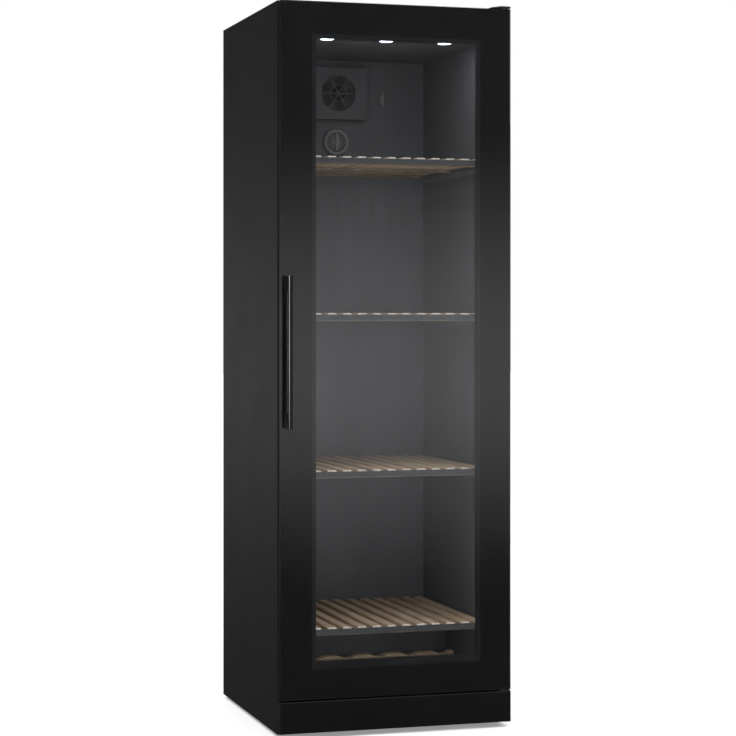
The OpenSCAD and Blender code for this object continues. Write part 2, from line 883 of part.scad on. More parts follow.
// Black border on the back of the outer pane
module border_print() {
    color([0.01, 0.01, 0.01]) difference() {
        box([-half_w + 0.5, print_y, door_bottom_z + 0.5], [half_w - 0.5, frame_y, door_top_z - 0.5]);
        box([-window_w, print_y - cut, window_bottom_z], [window_w, frame_y + cut, window_top_z]);
        handle_screw_holes(4, print_y - cut, frame_y + cut);
    }
}

// One of the frame's four mitred lengths: 0 bottom, 1 right, 2 top, 3 left
module mitre(side) {
    w = half_w - frame_margin;
    low = door_bottom_z + frame_margin;
    high = door_top_z - frame_margin;
    in = 120;
    g = joint_gap;
    outlines = [
        [[-w + g, low], [w - g, low], [w - in - g, low + in], [-w + in + g, low + in]],
        [[w, low + g], [w, high - g], [w - in, high - in - g], [w - in, low + in + g]],
        [[w - g, high], [-w + g, high], [-w + in + g, high - in], [w - in - g, high - in]],
        [[-w, high - g], [-w, low + g], [-w + in, low + in + g], [-w + in, high - in - g]]
    ];
    translate([0, door_back_y + cut, 0]) rotate([90, 0, 0])
        linear_extrude(door_t + 2 * cut) polygon(outlines[side]);
}

// Four lengths of one profile, with a lip behind the inner pane
module door_frame() {
    color([0.05, 0.05, 0.05])
    for (side = [0 : 3]) intersection() {
        difference() {
            union() {
                door_ring(frame_margin, glass_margin - 1, frame_y, door_back_y);
                door_ring(frame_margin, lip_margin, door_back_y - lip_t, door_back_y);
            }
            bar_z(hinge_x, hinge_y, door_top_z - bush_l - 1, door_top_z + cut, bush_r);
            bar_z(hinge_x, hinge_y, door_bottom_z - cut, door_bottom_z + bush_l + 1, bush_r);
            handle_screw_holes(2.5, frame_y - cut, door_back_y + cut);
            handle_screw_holes(4.5, door_back_y - 3, door_back_y + cut);
        }
        mitre(side);
    }
}

// Spacer between the two panes
module spacer_bar() {
    color([0.08, 0.08, 0.08])
    door_ring(glass_margin, glass_margin + spacer_w, frame_y, inner_glass_y);
}

module inner_glass() {
    color([0.3, 0.34, 0.34, 0.4])
    box([-half_w + glass_margin, inner_glass_y, door_bottom_z + glass_margin],
        [half_w - glass_margin, inner_glass_y + glass_t, door_top_z - glass_margin]);
}

// Magnetic seal around the door's back
module door_gasket() {
    color([0.08, 0.08, 0.08]) difference() {
        box([-half_w + gasket_margin, door_back_y, door_bottom_z + 15],
            [half_w - gasket_margin, front_y - gasket_gap, door_top_z - 13]);
        box([-half_w + gasket_margin + gasket_w, door_back_y - cut, door_bottom_z + 15 + gasket_w],
            [half_w - gasket_margin - gasket_w, front_y + cut, door_top_z - 13 - gasket_w]);
    }
}

// Bevelled vertical bar
module handle_bar() {
    x0 = handle_x;
    x1 = handle_x + handle_w;
    y0 = handle_front_y;
    y1 = bar_back_y;
    bevel = 2.2;
    outline = [
        [x0 + bevel, y0], [x1 - 2, y0], [x1, y0 + 2], [x1, y1], [x0, y1], [x0, y0 + bevel]
    ];
    color([0.04, 0.04, 0.04])
    translate([0, 0, handle_low_z]) linear_extrude(handle_l) polygon(outline);
}

module handle_posts() {
    color([0.04, 0.04, 0.04])
    for (z = post_zs) difference() {
        box([post_x, bar_back_y, z], [post_x + post_w, door_front_y, z + post_h]);
        bar_y(screw_x, door_front_y - 10, door_front_y + cut, z + post_h / 2, 2.5);
    }
}

module handle_screws() {
    color([0.6, 0.6, 0.62]) union() {
        handle_screw_holes(2.5, door_front_y - 10, door_back_y);
        handle_screw_holes(4.5, door_back_y - 3, door_back_y);
    }
}

// Bearing bushes in the upper and lower right corners of the frame
module door_bushes() {
    color([0.7, 0.7, 0.68])
    for (z = [door_bottom_z + frame_margin, door_top_z - frame_margin - bush_l])
        difference() {
            bar_z(hinge_x, hinge_y, z, z + bush_l, bush_r);
            bar_z(hinge_x, hinge_y, z - cut, z + bush_l + cut, pin_r + run_gap);
        }
}

side_panel(-1);  // side_panel_left
side_panel(1);  // side_panel_right
top_panel();
rear_panel();
machine_hood();
base_pan();
foam_insulation();
front_frame();
inner_liner();
plinth();
rear_grille();
hinge_brackets();
hinge_pins();
hinge_cover();
hinge_screws();
shelf_rails();
shelf_slats(1);  // shelf_slats_1
shelf_slats(2);  // shelf_slats_2
shelf_slats(3);  // shelf_slats_3
shelf_slats(4);  // shelf_slats_4
shelf_trims();
bottle_cradle();
light_bar();
led_lenses();
control_panel();
display_lens();
button(0);  // button_up
button(1);  // button_down
button(2);  // button_light
fan_housing();
fan_motor();
fan_rotor();
evaporator_plate();
air_sensor();
charcoal_filter();
compressor();
compressor_grommets();
condenser_coil();
condenser_wires();
filter_drier();
refrigerant_pipes();
drip_tray();
drain_tube();
power_box();
power_inlet();
foot(-1);  // foot_left
foot(1);  // foot_right
roller(-1);  // roller_left
roller(1);  // roller_right
roller_brackets();
outer_glass();
border_print();
door_frame();
spacer_bar();
inner_glass();
door_gasket();
handle_bar();
handle_posts();
handle_screws();
door_bushes();
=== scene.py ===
"""The looks of a tall wine cooler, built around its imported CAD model.

Everything is in metres in the model's own frame: +Z up, the door faces -Y, +X to the right.
"""
import json
import math

import bmesh
import bpy
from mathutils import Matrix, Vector


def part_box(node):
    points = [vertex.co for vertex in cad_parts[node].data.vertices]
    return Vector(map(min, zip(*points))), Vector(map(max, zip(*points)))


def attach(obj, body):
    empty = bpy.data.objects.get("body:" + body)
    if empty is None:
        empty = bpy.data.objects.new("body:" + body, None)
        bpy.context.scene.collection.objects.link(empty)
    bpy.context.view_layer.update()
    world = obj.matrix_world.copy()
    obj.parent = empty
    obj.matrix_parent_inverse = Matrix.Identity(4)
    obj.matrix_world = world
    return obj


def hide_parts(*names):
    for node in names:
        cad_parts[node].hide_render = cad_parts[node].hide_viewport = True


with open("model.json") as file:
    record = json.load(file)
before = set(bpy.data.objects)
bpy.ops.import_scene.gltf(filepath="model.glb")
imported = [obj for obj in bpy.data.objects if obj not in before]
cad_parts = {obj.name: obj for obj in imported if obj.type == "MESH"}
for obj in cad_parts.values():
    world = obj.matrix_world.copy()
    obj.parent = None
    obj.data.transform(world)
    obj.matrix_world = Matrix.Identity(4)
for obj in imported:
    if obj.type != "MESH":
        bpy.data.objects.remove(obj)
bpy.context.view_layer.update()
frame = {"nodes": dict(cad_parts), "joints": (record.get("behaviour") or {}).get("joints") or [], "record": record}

MM = 0.001
SLOT_OF = {part["node"]: part["material_slot"] for part in frame["record"]["subparts"]}
BODY_OF = {
    node: body
    for body, nodes in frame["record"]["behaviour"]["bodies"].items()
    for node in nodes
}

# Sizes that only the looks need; the places come from the frame
SHARP_ANGLE = math.radians(32)
SHEET_T = 1.2 * MM
SLAT_COUNT = 13
SLAT_W = 22 * MM
SLAT_T = 12 * MM
SLAT_PITCH = 38.5 * MM
SLAT_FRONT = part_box("shelf_slats_1")[0].y
LAMP_PITCH = 154 * MM
lens_low, lens_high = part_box("led_lenses")
LAMP_Y = (lens_low.y + lens_high.y) / 2
LAMP_R = (lens_high.y - lens_low.y) / 2


# ---- Camera ----

def make_camera():
    """The photograph's viewing angle: level, a little left of the front, from over five metres away."""
    data = bpy.data.cameras.new("camera")
    data.sensor_width = 36
    data.lens = 104.52
    data.shift_y = -0.0753
    data.clip_end = 200
    camera = bpy.data.objects.new("camera", data)
    camera.location = (-1.5939, -5.3122, 1.0381)
    camera.rotation_euler = (math.radians(90), 0, -0.29362)
    bpy.context.scene.collection.objects.link(camera)
    bpy.context.scene.camera = camera


make_camera()


# ---- Node trees ----

SOCKETS = {
    "ior": "IOR",
    "metallic": "Metallic",
    "specular": "Specular IOR Level",
    "transmission": "Transmission Weight",
    "glow": "Emission Strength",
}


class Nodes:
    """A node tree, with a short call for each kind of node."""

    def __init__(self, tree, coordinates="Object"):
        self.tree = tree
        self.place = self.add("ShaderNodeTexCoord").outputs[coordinates]

    def add(self, kind, inputs=None, **settings):
        node = self.tree.nodes.new(kind)
        for key, value in settings.items():
            setattr(node, key, value)
        for key, value in (inputs or {}).items():
            self.feed(node.inputs[key], value)
        return node

    def feed(self, socket, value):
        if isinstance(value, bpy.types.NodeSocket):
            self.tree.links.new(value, socket)
        else:
            socket.default_value = value

    def math(self, operation, *values):
        node = self.add("ShaderNodeMath", dict(enumerate(values)), operation=operation)
        return node.outputs[0]

    def stretched(self, scale):
        """The object's coordinates, stretched by a factor along each axis."""
        inputs = {"Vector": self.place, "Scale": scale}
        return self.add("ShaderNodeMapping", inputs).outputs["Vector"]

    def axis(self, letter):
        return self.add("ShaderNodeSeparateXYZ", {0: self.place}).outputs[letter]

    def noise(self, size, detail=3, stretch=(1, 1, 1), roughness=0.5):
        """Noise whose features are about size metres across."""
        inputs = {
            "Vector": self.stretched(stretch),
            "Scale": 1 / size,
            "Detail": detail,
            "Roughness": roughness,
        }
        return self.add("ShaderNodeTexNoise", inputs).outputs[0]

    def cells(self, size, output="Distance", stretch=(1, 1, 1)):
        """Scattered cells about size metres across."""
        inputs = {"Vector": self.stretched(stretch), "Scale": 1 / size}
        return self.add("ShaderNodeTexVoronoi", inputs).outputs[output]

    def span(self, value, low, high, start=0.0, end=1.0, smooth=False):
        """value, from start to end, turned into a number from low to high."""
        inputs = {0: value, 1: start, 2: end, 3: low, 4: high}
        kind = "SMOOTHSTEP" if smooth else "LINEAR"
        return self.add("ShaderNodeMapRange", inputs, interpolation_type=kind).outputs[0]

    def ramp(self, value, stops):
        """A colour for each value, blended between stops of (place, colour)."""
        node = self.add("ShaderNodeValToRGB", {0: value})
        ramp = node.color_ramp
        while len(ramp.elements) < len(stops):
            ramp.elements.new(1)
        for element, (place, colour) in zip(ramp.elements, stops):
            element.position = place
            element.color = (*colour, 1)
        return node.outputs[0]

    def blend(self, share, first, second):
        """The second colour over the first, by share."""
        inputs = {0: share, 6: first, 7: second}
        return self.add("ShaderNodeMix", inputs, data_type="RGBA").outputs[2]

    def bump(self, height, distance, strength=1.0, under=None):
        inputs = {"Height": height, "Distance": distance, "Strength": strength}
        if under:
            inputs["Normal"] = under
        return self.add("ShaderNodeBump", inputs).outputs[0]


class Surface(Nodes):
    """A material: a Principled shader and the nodes that feed it."""

    def __init__(self, name):
        self.material = bpy.data.materials.new(name)
        self.material.use_nodes = True
        super().__init__(self.material.node_tree)
        self.shader = self.tree.nodes["Principled BSDF"]
        self.output = self.tree.nodes["Material Output"]

    def finish(self, colour, roughness, normal=None, **plain):
        """Wires the shader. The plain values are set on the shader's own sockets."""
        self.feed(self.shader.inputs["Base Color"], colour)
        self.feed(self.shader.inputs["Roughness"], roughness)
        if normal:
            self.feed(self.shader.inputs["Normal"], normal)
        for key, value in plain.items():
            self.shader.inputs[SOCKETS[key]].default_value = value
        return self.material

    def cover(self, share, other):
        """Shows another shader over this one where share is 1."""
        inputs = {0: share, 1: self.shader.outputs[0], 2: other}
        mixed = self.add("ShaderNodeMixShader", inputs).outputs[0]
        self.tree.links.new(mixed, self.output.inputs["Surface"])


def grey(value):
    return (value, value, value)


def toned(colour, factor):
    return tuple(min(1, part * factor) for part in colour)


def stretched_along(axis, factor):
    """A scale that draws a texture out along one axis."""
    return tuple(factor if letter == axis else 1 for letter in "XYZ")


# ---- Materials ----

def powder_coat(name, tone, roughness):
    """Sprayed satin paint: an orange-peel skin and a faint drift of tone and gloss."""
    n = Surface(name)
    drift = n.noise(0.22, 2)
    colour = n.ramp(drift, [(0.3, toned(tone, 0.9)), (0.7, toned(tone, 1.1))])
    mottle = n.math("ADD", n.noise(0.15, 4), n.noise(9 * MM, 2))
    gloss = n.span(mottle, roughness - 0.03, roughness + 0.03, 0.6, 1.4)
    skin = n.bump(n.noise(1.6 * MM, 2), 0.02 * MM, 0.55)
    return n.finish(colour, gloss, skin, specular=0.5)


def moulded(name, tone, roughness, grain=0.9 * MM, depth=0.03 * MM):
    """Injection-moulded plastic with an eroded grain and a slight flow pattern."""
    n = Surface(name)
    flow = n.noise(0.09, 2, (1, 1, 0.3))
    colour = n.ramp(flow, [(0.3, toned(tone, 0.88)), (0.7, toned(tone, 1.12))])
    pits = n.cells(grain)
    gloss = n.span(n.math("ADD", flow, pits), roughness - 0.06, roughness + 0.08, 0.4, 1.4)
    return n.finish(colour, gloss, n.bump(pits, depth, 0.6), specular=0.42)


def brushed(name, tone, roughness, along, metallic=1.0):
    """Anodised or plain metal with fine lines along one axis."""
    n = Surface(name)
    lines = n.noise(0.35 * MM, 3, stretched_along(along, 0.02), 0.7)
    broad = n.noise(0.05, 2, stretched_along(along, 0.15))
    share = n.span(broad, 0.1, 0.9, 0.3, 0.7)
    colour = n.blend(share, (*toned(tone, 0.85), 1), (*toned(tone, 1.15), 1))
    gloss = n.span(lines, roughness - 0.07, roughness + 0.09, 0.3, 0.7)
    return n.finish(colour, gloss, n.bump(lines, 0.01 * MM, 0.35), metallic=metallic)


def zinc(name):
    """Hot-dip zinc with its large frosted flakes."""
    n = Surface(name)
    flakes = n.cells(14 * MM, output="Color")
    shade = n.add("ShaderNodeSeparateColor", {0: flakes}).outputs[0]
    mottle = n.math("MULTIPLY", n.span(shade, 0.75, 1.0), n.span(n.noise(4 * MM, 4), 0.85, 1.1))
    colour = n.ramp(mottle, [(0.55, (0.36, 0.37, 0.39)), (1.0, (0.62, 0.63, 0.65))])
    gloss = n.span(shade, 0.34, 0.52)
    return n.finish(colour, gloss, n.bump(n.noise(1.5 * MM, 3), 0.02 * MM, 0.4), metallic=1.0)


def oiled_wood(name, depth, along="Y"):
    """Oiled beech: each slat has its own tone, with growth rings, short pores, flecks and a pale front end that is
    painted light.

    depth darkens the wood all over, as painted shade; along is the axis that the grain follows.
    """
    levels_per_metre = 4
    n = Surface(name)
    number = n.math("FLOOR", n.math("MULTIPLY", n.axis("X"), 1 / SLAT_PITCH))
    level = n.math("FLOOR", n.math("MULTIPLY", n.axis("Z"), levels_per_metre))
    seed = n.add("ShaderNodeCombineXYZ", {0: number, 1: level}).outputs[0]
    # Painted light: the slats' front ends are made pale, as if lit from the front
    painted_lit_end = n.span(n.axis("Y"), 1, 0, SLAT_FRONT + 0.4 * MM, SLAT_FRONT + 1.6 * MM)
    own = n.add("ShaderNodeTexWhiteNoise", {"Vector": seed}, noise_dimensions="3D").outputs["Value"]
    offset = n.add("ShaderNodeCombineXYZ", {0: n.span(own, 0, 3), 2: n.span(own, 0, 7)}).outputs[0]
    n.place = n.add("ShaderNodeVectorMath", {0: n.place, 1: offset}, operation="ADD").outputs[0]
    rings = n.noise(7 * MM, 5, stretched_along(along, 0.045), 0.6)
    pores = n.noise(0.8 * MM, 2, stretched_along(along, 0.05))
    flecks = n.cells(1.6 * MM, stretch=stretched_along(along, 0.16))
    grain = n.ramp(rings, [
        (0.28, (0.27, 0.18, 0.11)), (0.5, (0.45, 0.33, 0.22)), (0.72, (0.56, 0.43, 0.31)),
    ])
    flecked = n.blend(n.span(flecks, 0.35, 0.0, 0.0, 0.5), grain, (0.3, 0.19, 0.11, 1))
    # The pale colour painted over the front ends stands in for the light that falls on them
    ends = n.blend(painted_lit_end, flecked, (0.46, 0.395, 0.33, 1))
    # depth lowers the tone all over: painted shade, used for the battens
    value = n.span(own, 0.82 * (1 - depth), 1.12 * (1 - depth))
    tone = n.add("ShaderNodeHueSaturation", {"Value": value, "Color": ends}).outputs[0]
    gloss = n.span(pores, 0.42, 0.62, 0.3, 0.7)
    grooves = n.bump(pores, 0.05 * MM, 0.5, n.bump(rings, 0.12 * MM, 0.3))
    return n.finish(tone, gloss, grooves, specular=0.4)


def see_through(name, tint, shadow_tint):
    """Tinted float glass with a faint haze. Lamps shine through it, so the room behind it is lit."""
    n = Surface(name)
    smear = n.noise(0.18, 4, (1, 1, 0.5))
    colour = n.ramp(smear, [(0.3, toned(tint, 0.97)), (0.7, toned(tint, 1.03))])
    n.finish(colour, n.span(smear, 0.0, 0.012, 0.4, 0.8), ior=1.5, transmission=1.0)
    clear = n.add("ShaderNodeBsdfTransparent", {0: (*shadow_tint, 1)})
    n.cover(n.add("ShaderNodeLightPath").outputs["Is Shadow Ray"], clear.outputs[0])
    return n.material


def enamel_print(name):
    """Black enamel screen-printed on the back of the glass."""
    n = Surface(name)
    drift = n.noise(0.3, 2)
    pinholes = n.cells(5 * MM)
    colour = n.ramp(pinholes, [(0.02, grey(0.022)), (0.12, grey(0.017))])
    gloss = n.span(drift, 0.28, 0.36)
    return n.finish(colour, gloss, n.bump(n.noise(3 * MM, 3), 0.01 * MM, 0.3), specular=0.3)


def soft_rubber(name, tone, roughness):
    """Matte rubber with bloom and fine flecks."""
    n = Surface(name)
    bloom = n.noise(0.03, 5)
    colour = n.ramp(bloom, [(0.3, toned(tone, 0.8)), (0.75, toned(tone, 1.35))])
    gloss = n.span(bloom, roughness - 0.05, roughness + 0.08, 0.3, 0.7)
    return n.finish(colour, gloss, n.bump(n.noise(0.7 * MM, 3), 0.03 * MM, 0.5), specular=0.35)


def copper(name):
    """Bright copper tube with heat stains."""
    n = Surface(name)
    stains = n.noise(0.035, 5)
    colour = n.ramp(stains, [
        (0.3, (0.30, 0.12, 0.06)), (0.55, (0.72, 0.36, 0.22)), (0.75, (0.82, 0.46, 0.30)),
    ])
    gloss = n.span(stains, 0.42, 0.24, 0.3, 0.7)
    return n.finish(colour, gloss, n.bump(n.noise(1.2 * MM, 3), 0.02 * MM, 0.4), metallic=1.0)


def granules(name, dark, light, size):
    """Packed grains or cut foam cells, with painted shade between them and painted light on their tops."""
    n = Surface(name)
    cell = n.cells(size)
    # Painted shade in the hollows between the cells, painted light on their raised middles
    colour = n.ramp(cell, [(0.1, light), (0.7, dark)])
    return n.finish(colour, n.span(cell, 0.8, 0.95), n.bump(cell, -0.6 * MM, 0.8))


def lamp_lens(name):
    """A lit lens: brightest over each chip in the middle, with a frosted rim."""
    n = Surface(name)
    across = n.math("PINGPONG", n.math("ADD", n.axis("X"), LAMP_PITCH), LAMP_PITCH / 2)
    deep = n.math("SUBTRACT", n.axis("Y"), LAMP_Y)
    radius = n.math("SQRT", n.math("ADD", n.math("POWER", across, 2), n.math("POWER", deep, 2)))
    glow = n.span(radius, 1.0, 0.35, 4 * MM, LAMP_R)
    frost = n.cells(1.1 * MM)
    light = n.ramp(glow, [(0.3, (0.62, 0.72, 0.9)), (0.8, (0.93, 0.96, 1.0)), (1.0, (1, 1, 1))])
    n.feed(n.shader.inputs["Emission Color"], light)
    colour = n.ramp(frost, [(0.1, (0.75, 0.78, 0.82)), (0.6, (0.92, 0.94, 0.97))])
    return n.finish(colour, n.span(frost, 0.15, 0.3), n.bump(frost, 0.05 * MM, 0.5), glow=9)


def dark_glass(name):
    """A smoked display window with fine wipe marks."""
    n = Surface(name)
    wipes = n.noise(2 * MM, 4, (0.15, 1, 1))
    colour = n.ramp(wipes, [(0.3, (0.006, 0.008, 0.01)), (0.7, (0.012, 0.015, 0.019))])
    return n.finish(colour, n.span(wipes, 0.04, 0.12), n.bump(wipes, 0.003 * MM, 0.3))


def lit_digit(name):
    """White segments of the display, a little uneven from chip to chip."""
    n = Surface(name)
    uneven = n.noise(3 * MM, 2)
    light = n.ramp(uneven, [(0.3, (0.55, 0.75, 1.0)), (0.7, (0.85, 0.95, 1.0))])
    n.feed(n.shader.inputs["Emission Color"], light)
    return n.finish(light, n.span(uneven, 0.3, 0.5), glow=2.2)


MATERIALS = {
    "cabinet_steel": powder_coat("cabinet_steel", grey(0.0085), 0.33),
    "zinc_steel": zinc("zinc_steel"),
    "condenser_black": powder_coat("condenser_black", grey(0.03), 0.3),
    "frame_plastic": moulded("frame_plastic", grey(0.014), 0.5),
    "liner_plastic": moulded("liner_plastic", (0.074, 0.074, 0.078), 0.48, 1.4 * MM, 0.05 * MM),
    # Foam: the darker yellow is painted shade between the cells, the lighter is painted light on their tops
    "foam": granules("foam", (0.52, 0.4, 0.2), (0.85, 0.74, 0.5), 2.2 * MM),
    "shelf_wood": oiled_wood("shelf_wood", 0),
    "trim_metal": brushed("trim_metal", (0.038, 0.038, 0.04), 0.44, "X", metallic=0.2),
    "rail_plastic": moulded("rail_plastic", (0.09, 0.09, 0.095), 0.5),
    "lamp_lens": lamp_lens("lamp_lens"),
    "display": dark_glass("display"),
    "button_plastic": moulded("button_plastic", (0.1, 0.1, 0.105), 0.42, 0.5 * MM),
    "rubber": soft_rubber("rubber", grey(0.02), 0.72),
    "seal_rubber": soft_rubber("seal_rubber", (0.03, 0.03, 0.032), 0.6),
    "copper": copper("copper"),
    "aluminium": brushed("aluminium", (0.8, 0.81, 0.83), 0.34, "Z"),
    "door_aluminium": brushed("door_aluminium", grey(0.085), 0.36, "Z"),
    "handle_aluminium": brushed("handle_aluminium", grey(0.045), 0.2, "Z"),
    "compressor_paint": powder_coat("compressor_paint", grey(0.009), 0.22),
    "outer_glass": see_through("outer_glass", (0.55, 0.56, 0.58), (0.62, 0.63, 0.65)),
    "inner_glass": see_through("inner_glass", (0.93, 0.95, 0.95), (0.9, 0.92, 0.92)),
    "border_print": enamel_print("border_print"),
    "screw_steel": brushed("screw_steel", (0.6, 0.6, 0.62), 0.3, "Z"),
    "bearing_plastic": moulded("bearing_plastic", (0.62, 0.61, 0.56), 0.45, 0.6 * MM),
    "filter_plastic": moulded("filter_plastic", (0.16, 0.16, 0.165), 0.5, 0.7 * MM),
    "tray_plastic": moulded("tray_plastic", grey(0.03), 0.55),
    "roller_plastic": moulded("roller_plastic", grey(0.022), 0.45, 0.6 * MM),
}
DIGIT_LIGHT = lit_digit("digit_light")
MARK_PAINT = moulded("mark_paint", (0.55, 0.56, 0.58), 0.5, 0.4 * MM, 0.01 * MM)
PLINTH_PAINT = powder_coat("plinth_paint", grey(0.0045), 0.09)
BLACK_ZINC = brushed("black_zinc", grey(0.03), 0.45, "X", metallic=0.6)
SPACER_GREY = moulded("spacer_grey", grey(0.042), 0.5)
# Painted shade: the slats' wood made darker for the battens, which sit in shade under the slats
SHADED_WOOD = oiled_wood("painted_shade_wood", 0.72, "X")
# Charcoal: the darker grey is painted shade between the grains, the lighter is painted light on their tops
CHARCOAL = granules("charcoal", grey(0.008), grey(0.05), 2.6 * MM)


# ---- Shapes ----

def add_box(bm, low, high):
    """A box given by two opposite corners."""
    corners = [[(low, high)[(i >> k) & 1][k] for k in range(3)] for i in range(8)]
    verts = [bm.verts.new(corner) for corner in corners]
    for quad in ((0, 2, 3, 1), (4, 5, 7, 6), (0, 1, 5, 4), (2, 6, 7, 3), (0, 4, 6, 2), (1, 3, 7, 5)):
        bm.faces.new([verts[i] for i in quad])


def skin(bm, rings, closed=False):
    """Joins equal rings of points into a surface; closed joins the last ring to the first."""
    rows = [[bm.verts.new(point) for point in ring] for ring in rings]
    pairs = list(zip(rows, rows[1:] + rows[:1]))
    for row, after in pairs if closed else pairs[:-1]:
        for i in range(len(row)):
            j = (i + 1) % len(row)
            bm.faces.new((row[i], row[j], after[j], after[i]))
    return rows


def add_prism(bm, outline, axis, start, end):
    """A closed outline in the plane across an axis, extruded from start to end along it."""
    def place(point, along):
        spot = list(point)
        spot.insert("XYZ".index(axis), along)
        return spot
    rows = skin(bm, [[place(p, along) for p in outline] for along in (start, end)])
    bm.faces.new(rows[0][::-1])
    bm.faces.new(rows[1])


def add_lathe(bm, profile, centre, axis="Y", steps=64):
    """A closed profile of (radius, along) points, turned about an axis through centre."""
    across = [letter for letter in "XYZ" if letter != axis]
    rings = []
    for i in range(steps):
        angle = 2 * math.pi * i / steps
        ring = []
        for radius, along in profile:
            spot = {across[0]: radius * math.cos(angle), across[1]: radius * math.sin(angle), axis: along}
            ring.append([centre["XYZ".index(letter)] + spot[letter] for letter in "XYZ"])
        rings.append(ring)
    skin(bm, rings, closed=True)


def add_frame(bm, profile, low, high):
    """A rectangular ring in the door's plane with mitred corners.

    The profile's points are (distance inwards from the outer edge, y); low and high are (x, z).
    """
    rings = []
    for x_side, z_side in ((0, 0), (1, 0), (1, 1), (0, 1)):
        x, dx = (low[0], 1) if x_side == 0 else (high[0], -1)
        z, dz = (low[1], 1) if z_side == 0 else (high[1], -1)
        rings.append([(x + dx * inwards, y, z + dz * inwards) for inwards, y in profile])
    skin(bm, rings, closed=True)


def filleted(outline, radii):
    """A closed outline whose corners are turned into arcs, one radius for each corner."""
    steps = 4
    points = []
    for i, corner in enumerate(outline):
        corner = Vector(corner)
        back = (Vector(outline[i - 1]) - corner).normalized()
        ahead = (Vector(outline[(i + 1) % len(outline)]) - corner).normalized()
        half = back.angle(ahead) / 2
        centre = corner + (back + ahead).normalized() * radii[i] / math.sin(half)
        reach = radii[i] / math.tan(half)
        first = corner + back * reach - centre
        last = corner + ahead * reach - centre
        for step in range(steps + 1):
            spoke = first.lerp(last, step / steps).normalized() * radii[i]
            points.append(tuple(centre + spoke))
    return points


def make_piece(name, bm, node, bevel=0.0, stands=True, slot=None, material=None):
    """Turns a bmesh into a piece that rides like a CAD node and, if it stands for it, hides it."""
    bmesh.ops.remove_doubles(bm, verts=bm.verts, dist=1e-7)
    bmesh.ops.recalc_face_normals(bm, faces=bm.faces)
    mesh = bpy.data.meshes.new(name)
    bm.to_mesh(mesh)
    bm.free()
    mesh.shade_smooth()
    slot = slot or SLOT_OF[node]
    mesh.materials.append(material or MATERIALS[slot])
    piece = bpy.data.objects.new(name, mesh)
    bpy.context.scene.collection.objects.link(piece)
    if bevel:
        edges = piece.modifiers.new("edges", "BEVEL")
        edges.width = bevel
        edges.segments = 2
        edges.limit_method = "ANGLE"
        edges.angle_limit = SHARP_ANGLE
        edges.harden_normals = True
        shading = piece.modifiers.new("flat_faces", "WEIGHTED_NORMAL")
        shading.keep_sharp = True
    else:
        mesh.set_sharp_from_angle(angle=SHARP_ANGLE)
    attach(piece, BODY_OF[node])
    if stands:
        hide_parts(node)
    return piece


def node_shape(node):
    """A copy of a CAD node's shape, with its split vertices joined and its flat faces whole."""
    source = frame["nodes"][node].data
    bm = bmesh.new()
    points = [bm.verts.new(vert.co) for vert in source.vertices]
    for polygon in source.polygons:
        corners = [points[i] for i in polygon.vertices]
        bm.faces.new(corners)
    bmesh.ops.remove_doubles(bm, verts=bm.verts, dist=1e-6)
    bmesh.ops.dissolve_limit(bm, angle_limit=math.radians(0.5), verts=bm.verts, edges=bm.edges)
    return bm


# ---- Cabinet ----

def bent_side_panel(side):
    """Side sheet folded round at its front and back edges."""
    node = "side_panel_right" if side > 0 else "side_panel_left"
    low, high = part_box(node)
    outer = max(abs(low.x), abs(high.x))
    inner = min(abs(low.x), abs(high.x))
    cut_edge = 0.4 * MM
    outside_fold = 1.7 * MM
    inside_fold = 0.5 * MM
    outline = [
        (inner, low.y), (outer, low.y), (outer, high.y), (inner, high.y),
        (inner, high.y - SHEET_T), (outer - SHEET_T, high.y - SHEET_T),
        (outer - SHEET_T, low.y + SHEET_T), (inner, low.y + SHEET_T),
    ]
    radii = [
        cut_edge, outside_fold, outside_fold, cut_edge, cut_edge, inside_fold, inside_fold, cut_edge,
    ]
    bm = bmesh.new()
    rounded = filleted(outline, radii)
    add_prism(bm, [(side * x, y) for x, y in rounded], "Z", low.z, high.z)
    make_piece(f"{node}_sheet", bm, node, bevel=0.3 * MM)


def bent_plinth():
    """Kick plate with a rounded fold along its top, closed ends and two tabs."""
    low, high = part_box("plinth")
    flange_back = high.y - 6 * MM
    cut_edge = 0.4 * MM
    outside_fold = 2.2 * MM
    inside_fold = 1.0 * MM
    tab_near = 190 * MM
    tab_far = 215 * MM
    tab_low = 30 * MM
    tab_high = 32 * MM
    outline = [
        (low.y, low.z), (low.y, high.z), (flange_back, high.z), (flange_back, high.z - SHEET_T),
        (low.y + SHEET_T, high.z - SHEET_T), (low.y + SHEET_T, low.z),
    ]
    radii = [cut_edge, outside_fold, cut_edge, cut_edge, inside_fold, cut_edge]
    bm = bmesh.new()
    add_prism(bm, filleted(outline, radii), "X", low.x, high.x)
    for side in (-1, 1):
        outer = side * high.x
        inner = side * (high.x - SHEET_T)
        end_low = (min(outer, inner), low.y + 1.5 * MM, low.z)
        end_high = (max(outer, inner), high.y - 1 * MM, high.z - 1.5 * MM)
        add_box(bm, end_low, end_high)
        tab_left, tab_right = sorted((side * tab_near, side * tab_far))
        add_box(bm, (tab_left, low.y + SHEET_T, tab_low), (tab_right, high.y, tab_high))
    make_piece("plinth_sheet", bm, "plinth", bevel=0.3 * MM, material=PLINTH_PAINT)


bent_side_panel(-1)
bent_side_panel(1)
bent_plinth()

